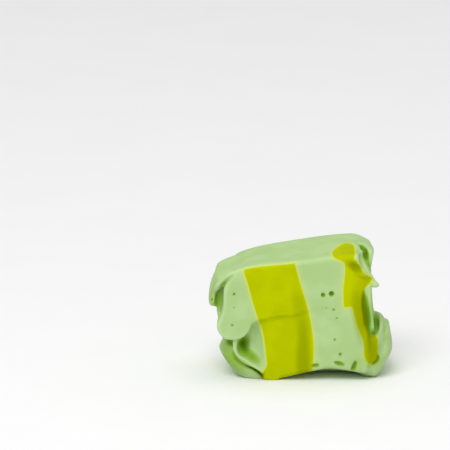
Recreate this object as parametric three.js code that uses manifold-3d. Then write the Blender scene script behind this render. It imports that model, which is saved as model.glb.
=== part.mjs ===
// Salt water taffy: one piece, a soft block of pale green pulled candy with two yellow layers running
// through it from front to back. The cutter has sheared it a little along a seam at half height, and both
// ends are pinched: they open into lips with folds between them.
//
// Millimetres. X runs to the right along the length, Y to the back and Z up. The origin is on the resting
// face, under the middle of the block.
import * as THREE from "three";
import { mergeVertices } from "three/addons/utils/BufferGeometryUtils.js";
import Module from "manifold-3d";

const wasm = await Module();
wasm.setup();

// Driving sizes of the block. The seam is the line along which its lower half is pushed back, and the trim
// is what its resting face loses to be flat.
const HALF = new THREE.Vector3(11, 7.3, 9.2);
const EDGE_RADIUS = 1.0;
const END_SWELL = 0.5;
const SEAM = { height: 9.2, blend: 0.9, step: 0.45, fades: [-1, 6] };
const BASE_TRIM = 0.15;

// How finely the forms are divided: the block's faces along X, Y and Z, and how much closer together they
// are at its edges, the faces round and up a cushion and an egg, those along and round a strand, the steps
// up a layer's edge, and the faces of the sheets over and under the layers
const FACES = [26, 16, 20];
const CROWDING = 0.45;
const CUSHION_FACES = [32, 12];
const EGG_FACES = [20, 12];
const STRAND_FACES = { steps: 14, curveSegments: 5 };
const LAYER_STEPS = 24;
const SHEET_FACES = [40, 20, 1];

// Wider than the piece every way
const ROOM = 40;

// How far out each end is at a height, and how high the top and the front's lower edge are along X
const LEFT_END = [
  [0, -7.4], [2, -8.8], [5, -9.9], [8, -10.6], [10.5, -11.3], [13, -11.4], [16, -10.6], [18.5, -9.6],
];
const RIGHT_END = [[0, 9.4], [3, 10.2], [7, 10.2], [10, 9.8], [14, 9.7], [18.5, 9.2]];
const TOP = [[-12, 14.4], [-8.3, 16.6], [-0.9, 17.6], [4.4, 18.35], [8, 18.55], [11, 18.2]];
const ARCH = [[-5.5, 0], [-3.8, 0.1], [1.6, 1.45], [4.2, 1.9], [8.5, 1.3], [11, 1.0]];
const ARCH_REACH = 7.5;
// The top falls by this much at the back, over this length toward the left end
const BACK_LEFT_DROP = 0.8;
const DROP_LENGTH = 11;

// The front lip of the left end, which droops over the dish below it
const TONGUE = {
  outline: [
    [-10.2, 15.0], [-11.0, 12.9], [-11.2, 10.2], [-11.8, 7.8], [-10.9, 6.3], [-9.4, 5.95], [-8.0, 6.4],
    [-7.1, 7.5], [-6.3, 8.5], [-4.6, 9.6], [-4.0, 12.0], [-5.0, 15.0], [-7.6, 16.1],
  ],
  y: [-7.4, -5.2],
  squareness: 6,
};
// Below it: the curled foot of the front, the dish hollowed out of it, and the dish's rim
const FOOT = {
  outline: [
    [-9.6, 6.6], [-9.8, 4.6], [-9.2, 3.1], [-7.6, 2.2], [-5.7, 1.0], [-4.9, 0.1], [-3.0, 0.6], [-3.0, 6.0],
    [-5.2, 8.7], [-8.0, 9.0],
  ],
  y: [-6.75, -3.2],
  squareness: 6,
};
const DISH = {
  outline: [
    [-9.1, 6.9], [-9.1, 4.8], [-8.4, 3.5], [-6.9, 2.6], [-5.2, 1.7], [-4.9, 3.8], [-5.2, 6.6], [-6.0, 8.8],
    [-7.8, 8.6],
  ],
  y: [-10.4, -3.9],
  squareness: 2.4,
};
const DISH_RIM = {
  path: [
    [-9.3, -5.6, 6.4], [-9.5, -6.0, 4.7], [-9.0, -6.2, 3.4], [-7.6, -6.4, 2.5], [-5.8, -6.7, 1.5],
    [-4.4, -6.6, 0.9],
  ],
  radius: 0.42,
};
// The back lip of the left end: a crescent below, and above it a flap that hangs from the top over a slot
const CRESCENT = {
  outline: [
    [-10.4, 5.6], [-11.5, 4.1], [-11.1, 2.5], [-9.8, 0.9], [-7.8, -0.2], [-5.0, -0.3], [-4.5, 1.5],
    [-7.0, 4.0], [-9.0, 6.4],
  ],
  y: [-5.2, 2.0],
  squareness: 2.8,
};
const FLAP = {
  outline: [
    [-8.6, 15.9], [-10.0, 15.7], [-11.2, 15.2], [-12.0, 14.4], [-12.4, 13.0], [-12.9, 11.4], [-13.1, 10.2],
    [-12.7, 9.3], [-11.8, 9.3], [-10.0, 10.5], [-8.6, 13.0],
  ],
  y: [-2.8, 6.4],
  squareness: 3.2,
};
const SLOT = { at: [-11.5, -3.7, 10.8], half: [0.6, 5.2, 3.0], turn: [-4, 8, 0] };
const HOOD_RIM = {
  path: [
    [-7.6, -6.75, 16.2], [-9.8, -6.5, 15.5], [-11.0, -5.6, 14.3], [-11.9, -4.2, 13.0], [-12.4, -2.6, 11.6],
  ],
  radius: 0.45,
};
// The right end's front lip: a ridge from the top down to a spike, a crease behind it, a blade below
const RIDGE = {
  path: [
    [7.6, 2.4, 18.1], [8.0, -0.6, 18.2], [8.5, -3.6, 17.2], [9.2, -5.3, 15.6], [9.8, -5.6, 14.5],
    [10.2, -5.5, 14.0],
  ],
  radius: 0.5,
};
const SPIKE = { at: [10.1, -5.45, 14.0], half: [1.05, 0.85, 0.62], turn: [0, 18, 0] };
const CREASE = {
  path: [[8.3, 3.2, 19.0], [9.2, 0.4, 17.9], [9.9, -2.2, 16.2], [10.3, -4.0, 14.6], [11.0, -4.9, 12.8]],
  radius: 0.55,
};
const BLADE = {
  path: [[9.7, -5.9, 14.2], [9.75, -6.1, 12.0], [9.95, -6.1, 9.4], [10.2, -6.0, 7.6], [10.5, -5.9, 6.2]],
  radius: 0.42,
};
const BLADE_CREASE = {
  path: [[8.85, -7.3, 13.3], [9.05, -7.2, 11.4], [9.3, -7.1, 9.2], [9.6, -7.0, 7.3], [9.9, -6.8, 6.5]],
  radius: 0.42,
};
const GAP = { at: [11.15, -5.9, 8.9], half: [0.6, 3.4, 2.9], turn: [0, 4, 0] };
// A hollow under the front corner, and the rounded lobe low down at the right
const CORNER_HOLLOW = { at: [8.1, -8.4, 16.7], half: [1.2, 1.6, 0.9], turn: [0, 30, 0] };
const LOBE = {
  outline: [
    [8.4, 8.8], [6.6, 5.0], [7.6, 0.6], [10.75, -0.2], [11.9, 1.8], [12.95, 4.2], [12.8, 6.6], [12.0, 8.2],
    [10.6, 8.9],
  ],
  y: [-6.7, 6.9],
  squareness: 2.8,
};

// Edges of the two yellow layers as x and z, from the bottom up
const LEFT_LAYER = {
  left: [
    [-4.6, -1], [-4.8, 1.9], [-4.8, 3.6], [-5.1, 5.4], [-5.8, 8.4], [-6.8, 11.6], [-7.6, 14.6],
    [-8.3, 16.8], [-9, 20],
  ],
  right: [
    [1.2, -1], [1.8, 2.4], [1.9, 5.6], [1.5, 8.8], [0.9, 11.4], [-0.1, 14.8], [-0.9, 18.0], [-1.2, 20],
  ],
};
const RIGHT_LAYER = {
  left: [
    [10.0, 1.9], [9.5, 2.3], [9.0, 3.6], [8.8, 5.8], [8.1, 7.9], [7.4, 10.3], [6.0, 10.6], [6.0, 13.2],
    [6.3, 15.6], [6.0, 17.4], [6.0, 20],
  ],
  right: [
    [10.5, 2.0], [11.0, 2.7], [10.9, 5.8], [9.6, 8.6], [9.1, 11.0], [8.9, 13.0], [9.2, 14.4], [8.5, 15.7],
    [7.6, 17.1], [7.2, 20],
  ],
};
// Where the right layer comes out through the skin at the front corner
const BLOB = { at: [6.1, -4.05, 18.7], half: [1.75, 3.9, 2.1], turn: [0, 4, 3] };
// The green over the layers' tops and feet, and the gap between a layer and the green
const SKIN = 0.55;
const LAYER_GAP = 0.3;

// Slivers thinner than the tolerance are closed up, and vertices closer than the weld become one. The
// corners that a geometry has several times lie within the match.
const TOLERANCE = 0.02;
const WELD = 0.004;
const MATCH = 1e-4;

const GREEN = new THREE.MeshStandardMaterial({ color: 0xb1d08d, roughness: 0.55, metalness: 0 });
const YELLOW = new THREE.MeshStandardMaterial({ color: 0xbecb02, roughness: 0.5, metalness: 0 });

// A closed geometry as a solid that can be joined and cut
function solidOf(geometry) {
  const bare = new THREE.BufferGeometry().setAttribute("position", geometry.getAttribute("position"));
  if (geometry.index) {
    bare.setIndex(geometry.index);
  }
  const merged = mergeVertices(bare, MATCH);
  const triVerts = new Uint32Array(merged.index.array);
  const vertProperties = merged.getAttribute("position").array;
  return new wasm.Manifold(new wasm.Mesh({ numProp: 3, vertProperties, triVerts, tolerance: TOLERANCE }));
}

// A solid as a geometry, with vertices that lie closer than WELD made one
function geometryOf(solid) {
  const { vertProperties, triVerts } = solid.getMesh();
  const geometry = new THREE.BufferGeometry();
  geometry.setAttribute("position", new THREE.BufferAttribute(vertProperties, 3));
  geometry.setIndex(new THREE.BufferAttribute(triVerts, 1));
  const welded = mergeVertices(geometry, WELD);
  const kept = [];
  for (let i = 0; i < welded.index.count; i += 3) {
    const corners = [0, 1, 2].map((k) => welded.index.getX(i + k));
    if (new Set(corners).size === corners.length) {
      kept.push(...corners);
    }
  }
  welded.setIndex(kept);
  welded.computeVertexNormals();
  return welded;
}

function moveVertices(geometry, move) {
  const position = geometry.getAttribute("position");
  const point = new THREE.Vector3();
  for (let i = 0; i < position.count; i++) {
    move(point.fromBufferAttribute(position, i));
    position.setXYZ(i, point.x, point.y, point.z);
  }
  return geometry;
}

// A smooth curve through [place, value] pairs, read at any place. Outside the pairs it holds the end value.
function profile(pairs) {
  const last = pairs.length - 1;
  return (place) => {
    if (place <= pairs[0][0]) {
      return pairs[0][1];
    }
    if (place >= pairs[last][0]) {
      return pairs[last][1];
    }
    const i = pairs.findIndex(([at]) => at > place) - 1;
    const slope = (k) => {
      const a = pairs[Math.max(k - 1, 0)];
      const b = pairs[Math.min(k + 1, last)];
      return (b[1] - a[1]) / (b[0] - a[0]);
    };
    const [[x0, y0], [x1, y1]] = [pairs[i], pairs[i + 1]];
    const span = x1 - x0;
    const t = (place - x0) / span;
    const rise = t * t * (3 - 2 * t);
    const bend = t * (1 - t) * span;
    return y0 + (y1 - y0) * rise + bend * ((1 - t) * slope(i) - t * slope(i + 1));
  };
}

// 0 before start, 1 after end, and a smooth rise between
function ramp(value, start, end) {
  return THREE.MathUtils.smoothstep((value - start) / (end - start), 0, 1);
}

// A rounded form seen from the front as a closed curve through the outline's x and z points, which go round
// with the body on their left, and as deep as y says. At squareness 2 it swells like a cushion, and higher
// up it is a plate with round edges.
function cushion({ outline, y, squareness }) {
  const [around, rows] = CUSHION_FACES;
  const corners = outline.map(([x, z]) => new THREE.Vector3(x, 0, z));
  const edge = new THREE.CatmullRomCurve3(corners, true, "centripetal");
  const middle = new THREE.Vector3();
  edge.getSpacedPoints(around).slice(1).forEach((p) => middle.addScaledVector(p, 1 / around));
  const halfDepth = (y[1] - y[0]) / 2;
  const geometry = new THREE.SphereGeometry(1, around, rows);
  geometry.rotateX(Math.PI / 2);
  return solidOf(moveVertices(geometry, (p) => {
    const share = (Math.atan2(p.z, p.x) / (2 * Math.PI) + 1) % 1;
    const out = edge.getPointAt(share);
    const spread = Math.min(1, Math.hypot(p.x, p.z)) ** (2 / squareness);
    const depth = Math.sign(p.y) * Math.abs(p.y) ** (2 / squareness);
    p.x = middle.x + spread * (out.x - middle.x);
    p.z = middle.z + spread * (out.z - middle.z);
    p.y = (y[0] + y[1]) / 2 + depth * halfDepth;
  }));
}

// An egg shape with half sizes along X, Y and Z, turned by degrees about them
function egg({ at, half, turn }) {
  const geometry = new THREE.SphereGeometry(1, ...EGG_FACES);
  geometry.scale(...half);
  const angles = turn.map(THREE.MathUtils.degToRad);
  geometry.applyMatrix4(new THREE.Matrix4().makeRotationFromEuler(new THREE.Euler(...angles)));
  geometry.translate(...at);
  return solidOf(geometry);
}

// A round strand along a smooth curve through the path's points
function strand({ path, radius }) {
  const curve = new THREE.CatmullRomCurve3(path.map((p) => new THREE.Vector3(...p)));
  const section = new THREE.Shape().absarc(0, 0, radius, 0, 2 * Math.PI);
  return solidOf(new THREE.ExtrudeGeometry(section, { extrudePath: curve, ...STRAND_FACES }));
}

const leftEnd = profile(LEFT_END);
const rightEnd = profile(RIGHT_END);
const topLine = profile(TOP);
const archLine = profile(ARCH);

function topAt(x, y) {
  const back = (y / HALF.y + 1) / 2;
  return topLine(x) - BACK_LEFT_DROP * back * ramp(-x, 0, DROP_LENGTH);
}

function baseAt(x, y) {
  return archLine(x) * (1 - ramp(y + HALF.y, 0, ARCH_REACH));
}

// The block itself: a box of small faces with round edges, bent to the ends, the top, the arch and the seam
function block() {
  const inner = HALF.clone().subScalar(EDGE_RADIUS);
  const crowd = (a) => (1 - CROWDING) * a + CROWDING * Math.sin((a * Math.PI) / 2);
  const geometry = new THREE.BoxGeometry(2, 2, 2, ...FACES);
  return solidOf(moveVertices(geometry, (p) => {
    p.set(crowd(p.x), crowd(p.y), crowd(p.z)).multiply(HALF);
    const core = p.clone().clamp(inner.clone().negate(), inner);
    const out = p.clone().sub(core);
    if (out.length() > 0) {
      p.copy(core).addScaledVector(out.normalize(), EDGE_RADIUS);
    }

    const across = (p.x / HALF.x + 1) / 2;
    const back = (p.y / HALF.y + 1) / 2;
    const up = (p.z / HALF.z + 1) / 2;
    const height = up * 2 * HALF.z;
    const swell = END_SWELL * Math.sin(Math.PI * back);
    p.x = THREE.MathUtils.lerp(leftEnd(height) - swell, rightEnd(height) + swell, across);
    p.z = THREE.MathUtils.lerp(baseAt(p.x, p.y), topAt(p.x, p.y), up);
    const below = 1 - ramp(p.z, SEAM.height - SEAM.blend, SEAM.height);
    p.y += SEAM.step * below * (1 - ramp(p.x, ...SEAM.fades)) * (1 - back);
  }));
}

// The left end gets its lower lips first, then the dish, then the tongue over it and the flap beside it
function withLeftEnd(body) {
  return body
    .add(cushion(CRESCENT))
    .add(cushion(FOOT))
    .subtract(cushion(DISH))
    .add(strand(DISH_RIM))
    .add(cushion(TONGUE))
    .add(cushion(FLAP))
    .subtract(egg(SLOT))
    .add(strand(HOOD_RIM));
}

function withRightEnd(body) {
  return body
    .add(cushion(LOBE))
    .subtract(egg(GAP))
    .subtract(strand(CREASE))
    .subtract(strand(BLADE_CREASE))
    .subtract(egg(CORNER_HOLLOW))
    .add(strand(RIDGE))
    .add(strand(BLADE))
    .add(egg(SPIKE));
}

// The whole piece, trimmed flat where it rests
function wholeBody() {
  const above = new THREE.BoxGeometry(ROOM, ROOM, ROOM).translate(0, 0, ROOM / 2 + BASE_TRIM);
  return withRightEnd(withLeftEnd(block())).intersect(solidOf(above)).translate([0, 0, -BASE_TRIM]);
}

// What lies more than a depth under the top and above the base
function between(depth) {
  const geometry = new THREE.BoxGeometry(ROOM, ROOM, 2, ...SHEET_FACES);
  return solidOf(moveVertices(geometry, (p) => {
    const inside = THREE.MathUtils.clamp(p.y, -HALF.y, HALF.y);
    p.z = (p.z > 0 ? topAt(p.x, inside) - depth : baseAt(p.x, inside) + depth) - BASE_TRIM;
  }));
}

// A layer's shape from front to back, larger by grow all round
function layer({ left, right }, grow) {
  const edge = (points) => new THREE.SplineCurve(points.map((p) => new THREE.Vector2(...p)));
  const ring = [left, right.toReversed()].flatMap((points) => edge(points).getSpacedPoints(LAYER_STEPS));
  const grown = ring.map((p, i) => {
    const along = ring[(i + 1) % ring.length].clone().sub(ring.at(i - 1)).normalize();
    return new THREE.Vector2(p.x - grow * along.y, p.y + grow * along.x);
  });
  const geometry = new THREE.ExtrudeGeometry(new THREE.Shape(grown), { depth: ROOM, bevelEnabled: false });
  return solidOf(geometry.rotateX(Math.PI / 2).translate(0, ROOM / 2, 0));
}

// Where the layers are, larger by grow all round
function leftLayer(grow) {
  return layer(LEFT_LAYER, grow).intersect(between(SKIN - grow));
}

function rightLayer(grow) {
  const blob = { ...BLOB, half: BLOB.half.map((size) => size + grow) };
  return layer(RIGHT_LAYER, grow).intersect(between(SKIN - grow)).add(egg(blob));
}

const taffy = new THREE.Group();

function addNode(name, solid, material) {
  const mesh = new THREE.Mesh(geometryOf(solid.simplify(TOLERANCE)), material);
  mesh.name = name;
  taffy.add(mesh);
}

const whole = wholeBody();
const half = LAYER_GAP / 2;

addNode("green_taffy", whole.subtract(leftLayer(half)).subtract(rightLayer(half)), GREEN);
addNode("yellow_layer_left", whole.intersect(leftLayer(-half)), YELLOW);
addNode("yellow_layer_right", whole.intersect(rightLayer(-half)), YELLOW);

export default taffy;
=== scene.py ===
import math

import bpy
import numpy as np
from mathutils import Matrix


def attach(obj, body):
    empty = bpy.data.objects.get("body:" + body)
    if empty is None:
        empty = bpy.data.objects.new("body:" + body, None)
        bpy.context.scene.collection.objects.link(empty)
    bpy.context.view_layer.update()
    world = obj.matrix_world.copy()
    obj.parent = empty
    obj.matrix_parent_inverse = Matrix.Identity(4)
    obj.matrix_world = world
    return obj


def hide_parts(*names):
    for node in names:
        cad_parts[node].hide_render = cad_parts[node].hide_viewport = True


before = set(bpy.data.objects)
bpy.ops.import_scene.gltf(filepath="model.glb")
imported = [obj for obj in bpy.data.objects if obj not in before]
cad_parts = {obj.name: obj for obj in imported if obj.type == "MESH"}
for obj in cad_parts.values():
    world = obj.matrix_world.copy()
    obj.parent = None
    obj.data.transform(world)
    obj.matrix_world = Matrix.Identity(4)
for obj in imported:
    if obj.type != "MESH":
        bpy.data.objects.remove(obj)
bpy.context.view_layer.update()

import openvdb
from mathutils import Euler, Vector
from mathutils.bvhtree import BVHTree
from mathutils.kdtree import KDTree

# The looks of one piece of salt water taffy: pale green pulled candy with two yellow layers through it. The
# body is worked out as a field of distances on a fine grid, so that its forms run into each other softly, as
# pulled candy does. The field becomes a mesh, which the two layers' shapes cut in three.
#
# Shapes are in millimetres in the frame of the CAD model: X to the right, Y to the back and Z up.
MM = 0.001
Y, Z = 1, 2

# The grid: its spacing and corners, how far round a form it is worked out, how many spacings deep the field
# is kept for the mesh, and the least share of a form's size that is worked with
VOXEL = 0.145
GRID_LOW = (-14.4, -8.6, -0.9)
GRID_HIGH = (14.2, 8.6, 20.0)
REACH = 1.2
BAND = 3
TINY = 1e-3

# How finely curves are divided: between two of their points, round an outline, and along a strand
CURVE_STEPS = 24
OUTLINE_STEPS = 160
STRAND_STEPS = 24

# How far out from a fold its painted shade fades, and the share of a painted shade egg that is darkest
# throughout
FOLD_SHADE_FADE = 0.3
SHADE_CORE = 0.2

# Driving sizes of the block, as in the CAD model
HALF = (11.0, 7.3, 9.2)
EDGE_RADIUS = 0.85
END_SWELL = 0.5
SEAM = {"blend": 0.7, "step": 0.5, "fades": (-4.5, 4)}
SEAM_LINE = [(-7, 9.1), (-4.8, 9.55), (-3.0, 9.85), (-0.7, 10.05), (1.1, 10.7), (4.5, 11.0)]
BASE_TRIM = 0.15
# How far out each end is at a height, and how high the top and the front's lower edge are along X
LEFT_END = [
    (0, -7.4), (2, -8.8), (5, -9.9), (8, -10.6), (10.5, -11.3), (13, -11.4), (16, -10.6), (18.5, -9.6),
]
RIGHT_END = [(0, 9.4), (3, 10.2), (7, 10.2), (10, 9.8), (14, 9.6), (16.5, 9.6), (18.5, 10.2)]
TOP = [(-12, 14.4), (-8.3, 16.6), (-0.9, 17.6), (4.4, 18.35), (8, 18.55), (11, 18.2)]
ARCH = [(-5.5, 0), (-3.8, 0.1), (1.6, 1.45), (4.2, 1.9), (8.5, 1.3), (11, 1.0)]
ARCH_REACH = 7.5
# The back of the top falls away at both ends, and the front turns back at the right
BACK_LEFT_DROP = 0.8
DROP_LENGTH = 11
BACK_RIGHT_DROP = 0.9
RIGHT_DROP = (7.2, 10.7)
RIGHT_DROP_FROM = 0.3
FRONT_TURN = 0.75
TURN_FROM = (7.0, 9.8)
TURN_HEIGHTS = [(2.5, 0), (5.0, 1), (14.0, 1), (16.0, 0.6), (17.5, 0)]

# The left end: the corner that is taken away below, the foot with its dish, rim and slits there, and the
# crescent behind it
LOWER_CORNER = {
    "outline": [
        (-9.4, 6.9), (-12.6, 6.9), (-12.6, -2), (-4.7, -2), (-5.0, 0.3), (-5.7, 1.15), (-6.7, 1.75),
        (-7.8, 2.35), (-8.7, 3.05), (-9.25, 3.9), (-9.45, 5.0),
    ],
    "y": (-9.0, -4.2),
    "rounding": 0.3,
}
FOOT = {
    "outline": [
        (-9.3, 6.6), (-9.5, 5.2), (-9.3, 4.2), (-8.8, 3.5), (-7.9, 2.85), (-7.1, 2.3), (-6.35, 1.85),
        (-5.7, 1.35), (-5.35, 0.9), (-5.2, 0.35), (-3.0, 0.3), (-3.0, 6.0), (-5.2, 8.7), (-8.0, 9.0),
    ],
    "y": (-6.78, -4.4),
    "rounding": 0.3,
}
DISH = {
    "outline": [
        (-5.9, 9.1), (-7.2, 8.9), (-8.6, 7.6), (-9.2, 6.2), (-9.25, 5.1), (-9.0, 4.3), (-8.5, 3.75),
        (-7.8, 3.3), (-6.9, 2.75), (-6.0, 2.2), (-5.25, 1.9), (-5.0, 2.6), (-5.0, 4.0), (-5.2, 6.0),
        (-5.5, 7.6),
    ],
    "y": (-8.8, -5.6),
    "squareness": 1.5,
}
DISH_CORE = {"at": (-7.95, -6.3, 5.3), "half": (0.85, 1.2, 1.6), "turn": (0, 10, 0)}
DISH_RIM = {
    "path": [
        (-9.3, -6.4, 6.6), (-9.45, -6.6, 5.3), (-9.25, -6.75, 4.4), (-8.85, -6.8, 3.75), (-8.1, -6.85, 3.25),
        (-7.5, -6.9, 2.87), (-6.65, -6.95, 2.3), (-5.8, -7.0, 1.72), (-5.2, -7.0, 1.35),
    ],
    "radii": (0.13, 0.15, 0.16, 0.16, 0.15, 0.13),
}
RIM_SLIT = {
    "path": [
        (-9.8, -6.4, 5.0), (-9.6, -6.4, 3.9), (-9.1, -6.45, 3.15), (-8.2, -6.5, 2.5), (-7.2, -6.5, 1.9),
    ],
    "radii": (0.12, 0.16, 0.16, 0.16, 0.12),
}
SLIT = {
    "outline": [
        (-7.7, 2.28), (-7.1, 2.06), (-6.65, 1.88), (-6.24, 1.66), (-5.85, 1.38), (-5.5, 1.06), (-5.3, 0.8),
        (-5.4, 0.62), (-5.7, 0.85), (-6.24, 1.34), (-6.7, 1.66), (-7.15, 1.94),
    ],
    "y": (-9.0, -5.8),
    "rounding": 0.05,
}
CRESCENT = {
    "outline": [
        (-10.75, 5.6), (-11.4, 4.45), (-11.56, 4.1), (-11.42, 3.75), (-11.05, 3.0), (-10.4, 2.0),
        (-9.65, 1.05), (-8.7, 0.25), (-7.6, -0.4), (-6.4, -0.8), (-4.5, -0.9), (-4.5, 1.5), (-7.0, 4.0),
        (-9.0, 6.4),
    ],
    "y": (-6.4, 1.6),
    "squareness": 2.8,
}
# Above them: the front lip, which droops over the dish, the flap behind it, the slot between the two, and the
# rim that runs from the top down the flap
TONGUE = {
    "outline": [
        (-9.2, 15.7), (-9.9, 15.15), (-10.5, 14.3), (-10.85, 13.4), (-10.93, 12.3), (-10.95, 11.2),
        (-11.1, 10.2), (-11.35, 9.5), (-11.75, 8.6), (-11.85, 7.9), (-11.5, 7.0), (-10.8, 6.3), (-9.9, 6.1),
        (-9.0, 6.15), (-8.2, 6.45), (-7.5, 7.1), (-7.1, 7.8), (-6.75, 8.45), (-6.15, 8.85), (-5.3, 9.05),
        (-4.2, 9.3), (-3.5, 11), (-5.0, 15.0), (-7.4, 16.1),
    ],
    "y": (-7.38, -4.0),
    "rounding": 0.45,
}
FLAP = {
    "outline": [
        (-8.8, 16.0), (-10.0, 15.75), (-11.1, 15.3), (-11.95, 14.7), (-12.3, 13.6), (-12.75, 12.3),
        (-13.05, 11.2), (-13.1, 10.4), (-12.95, 9.95), (-12.2, 9.8), (-10.5, 10.3), (-8.6, 13.0),
    ],
    "y": (-4.8, 6.4),
    "squareness": 3.4,
}
FLAP_BACK = {"at": (-10.75, 4.5, 11.4), "half": (1.6, 2.5, 2.2), "turn": (0, 12, 0)}
SLOT = {
    "outline": [
        (-11.75, 13.1), (-12.05, 12.0), (-12.1, 10.8), (-11.9, 9.8), (-11.4, 9.1), (-10.8, 9.4),
        (-10.6, 11.5), (-10.7, 12.9), (-11.0, 13.5), (-11.4, 13.5),
    ],
    "y": (-9.0, -3.7),
    "rounding": 0.3,
}
HOOD_FILL = {
    "path": [
        (-8.9, -6.5, 15.95), (-9.75, -6.35, 15.5), (-10.4, -5.95, 14.95), (-10.95, -5.35, 14.25),
        (-11.55, -4.7, 13.55), (-12.0, -4.15, 12.95), (-12.3, -3.6, 12.1),
    ],
    "radii": (0.4, 0.5, 0.5, 0.5, 0.48, 0.4, 0.25),
}
HOOD_RIM = {
    "path": [
        (-8.0, -7.1, 16.35), (-8.9, -7.05, 16.1), (-9.7, -6.95, 15.72), (-10.38, -6.6, 15.2),
        (-10.95, -6.0, 14.5), (-11.5, -5.3, 13.8), (-11.9, -4.65, 13.1), (-12.2, -4.05, 12.3),
    ],
    "radii": (0.1, 0.16, 0.2, 0.2, 0.2, 0.16, 0.1, 0.05),
}
HOOD_GROOVE = {
    "path": [
        (-9.7, -7.2, 15.48), (-10.05, -7.05, 15.12), (-10.4, -6.8, 14.72), (-10.72, -6.35, 14.3),
        (-11.0, -5.7, 13.75), (-11.2, -5.2, 13.25),
    ],
    "radii": (0.03, 0.08, 0.1, 0.1, 0.1),
}

# The right end: the cut corner with the lip, crease and ridge in it, and the spike that the ridge ends in
CORNER_CUT = {"at": (10.4, -6.6, 18.4), "half": (2.2, 3.2, 2.6), "turn": (0, 0, 0)}
BACK_LIP = {
    "path": [
        (7.8, 1.9, 18.2), (8.7, 0.9, 18.3), (9.35, -1.0, 18.15), (9.75, -2.6, 17.7), (9.8, -3.4, 17.0),
        (9.7, -3.8, 16.0),
    ],
    "radii": (0.2, 0.35, 0.45, 0.45, 0.4, 0.3),
}
CREASE = {
    "path": [
        (8.5, -0.6, 18.6), (8.87, -2.4, 18.4), (9.1, -3.75, 18.1), (9.48, -4.3, 17.65), (9.8, -4.6, 17.1),
        (9.9, -4.7, 16.6),
    ],
    "radii": (0.1, 0.22, 0.34, 0.4, 0.38, 0.2),
}
CORNER_HOLLOW = {"at": (7.7, -8.4, 16.7), "half": (1.6, 1.8, 0.9), "turn": (0, 35, 0)}
RIDGE = {
    "path": [
        (7.45, 1.8, 18.3), (7.8, 0.3, 18.3), (7.95, -2.4, 18.2), (8.2, -4.4, 17.8), (8.6, -5.5, 17.3),
        (9.0, -6.0, 16.65), (9.5, -6.1, 15.75), (9.9, -5.9, 15.3), (10.2, -5.6, 14.6),
    ],
    "radii": (0.2, 0.3, 0.33, 0.34, 0.33, 0.3, 0.28),
}
SPIKE = {"at": (10.25, -5.5, 14.0), "half": (0.95, 0.7, 0.5), "turn": (0, 18, 0)}
# Below it: the blade with a crease before it and a gap behind it, and the rounded lobe low down
BLADE = {
    "path": [
        (9.65, -6.1, 14.0), (9.65, -6.25, 12.9), (9.8, -6.3, 11.4), (9.97, -6.3, 9.9), (10.15, -6.25, 8.3),
        (10.3, -6.2, 7.2),
    ],
    "radii": (0.36, 0.4, 0.4, 0.34, 0.28, 0.24),
}
BLADE_CREASE = {
    "path": [
        (9.05, -7.15, 13.4), (9.1, -7.0, 12.4), (9.15, -6.95, 11.2), (9.35, -6.9, 9.8), (9.5, -6.85, 8.4),
        (9.75, -6.85, 7.3),
    ],
    "radii": (0.16, 0.34, 0.4, 0.42, 0.42, 0.22),
}
GAP = {
    "outline": [
        (10.5, 11.6), (10.42, 9.6), (10.4, 8.0), (10.5, 7.1), (10.85, 6.8), (11.1, 7.1), (11.2, 8.0),
        (11.2, 9.6), (11.2, 11.6),
    ],
    "y": (-12.5, -0.6),
    "squareness": 3.0,
}
LOBE = {
    "outline": [
        (8.4, 7.6), (6.6, 5.0), (7.6, 0.6), (10.75, -0.4), (11.7, 0.9), (12.5, 2.3), (13.0, 3.3), (13.1, 4.1),
        (12.95, 5.0), (12.75, 6.2), (12.6, 6.8), (12.1, 7.0), (11.75, 7.6), (11.2, 7.95), (10.4, 8.1),
    ],
    "y": (-6.7, 6.9),
    "squareness": 2.8,
}
LOBE_VALLEY = {"at": (11.95, -6.9, 6.4), "half": (0.7, 2.0, 2.8), "turn": (0, 0, 0)}
TIP_CREASE = {
    "path": [(10.98, -6.45, 3.7), (11.0, -6.4, 3.2), (10.75, -6.4, 2.85), (10.3, -6.5, 2.6)],
    "radii": (0.06, 0.14, 0.16, 0.08),
}

# Round bubbles in the front: x, z and radius, deeper than wide, with painted shade that is darker in larger
# ones
PITS = [
    (3.18, 12.74, 0.27), (4.38, 12.94, 0.33), (4.71, 10.6, 0.16), (5.15, 9.35, 0.14), (4.87, 6.2, 0.16),
    (5.65, 4.1, 0.2), (0.5, 17.0, 0.1), (-9.4, 12.85, 0.17), (-9.65, 8.3, 0.15), (-9.4, 10.9, 0.1),
    (2.55, 10.75, 0.09), (3.1, 10.8, 0.11), (3.6, 10.85, 0.11), (3.95, 10.8, 0.09),
]
PIT_DEPTH = 1.6
PIT_STRENGTH = 3
DARKEST_PIT = 0.85
# Longer hollows in the front, and one in the flap, with painted shade in them
DIMPLES = [
    {"at": (5.5, -7.45, 2.75), "half": (0.75, 0.5, 0.26), "turn": (0, 16, 0)},
    {"at": (7.55, -7.3, 2.2), "half": (0.24, 0.45, 0.95), "turn": (0, 20, 0)},
    {"at": (2.15, -7.3, 2.45), "half": (0.5, 0.35, 0.22), "turn": (0, -8, 0)},
    {"at": (-12.6, -3.8, 11.25), "half": (0.12, 0.25, 0.12), "turn": (0, 0, 0)},
]
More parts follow.
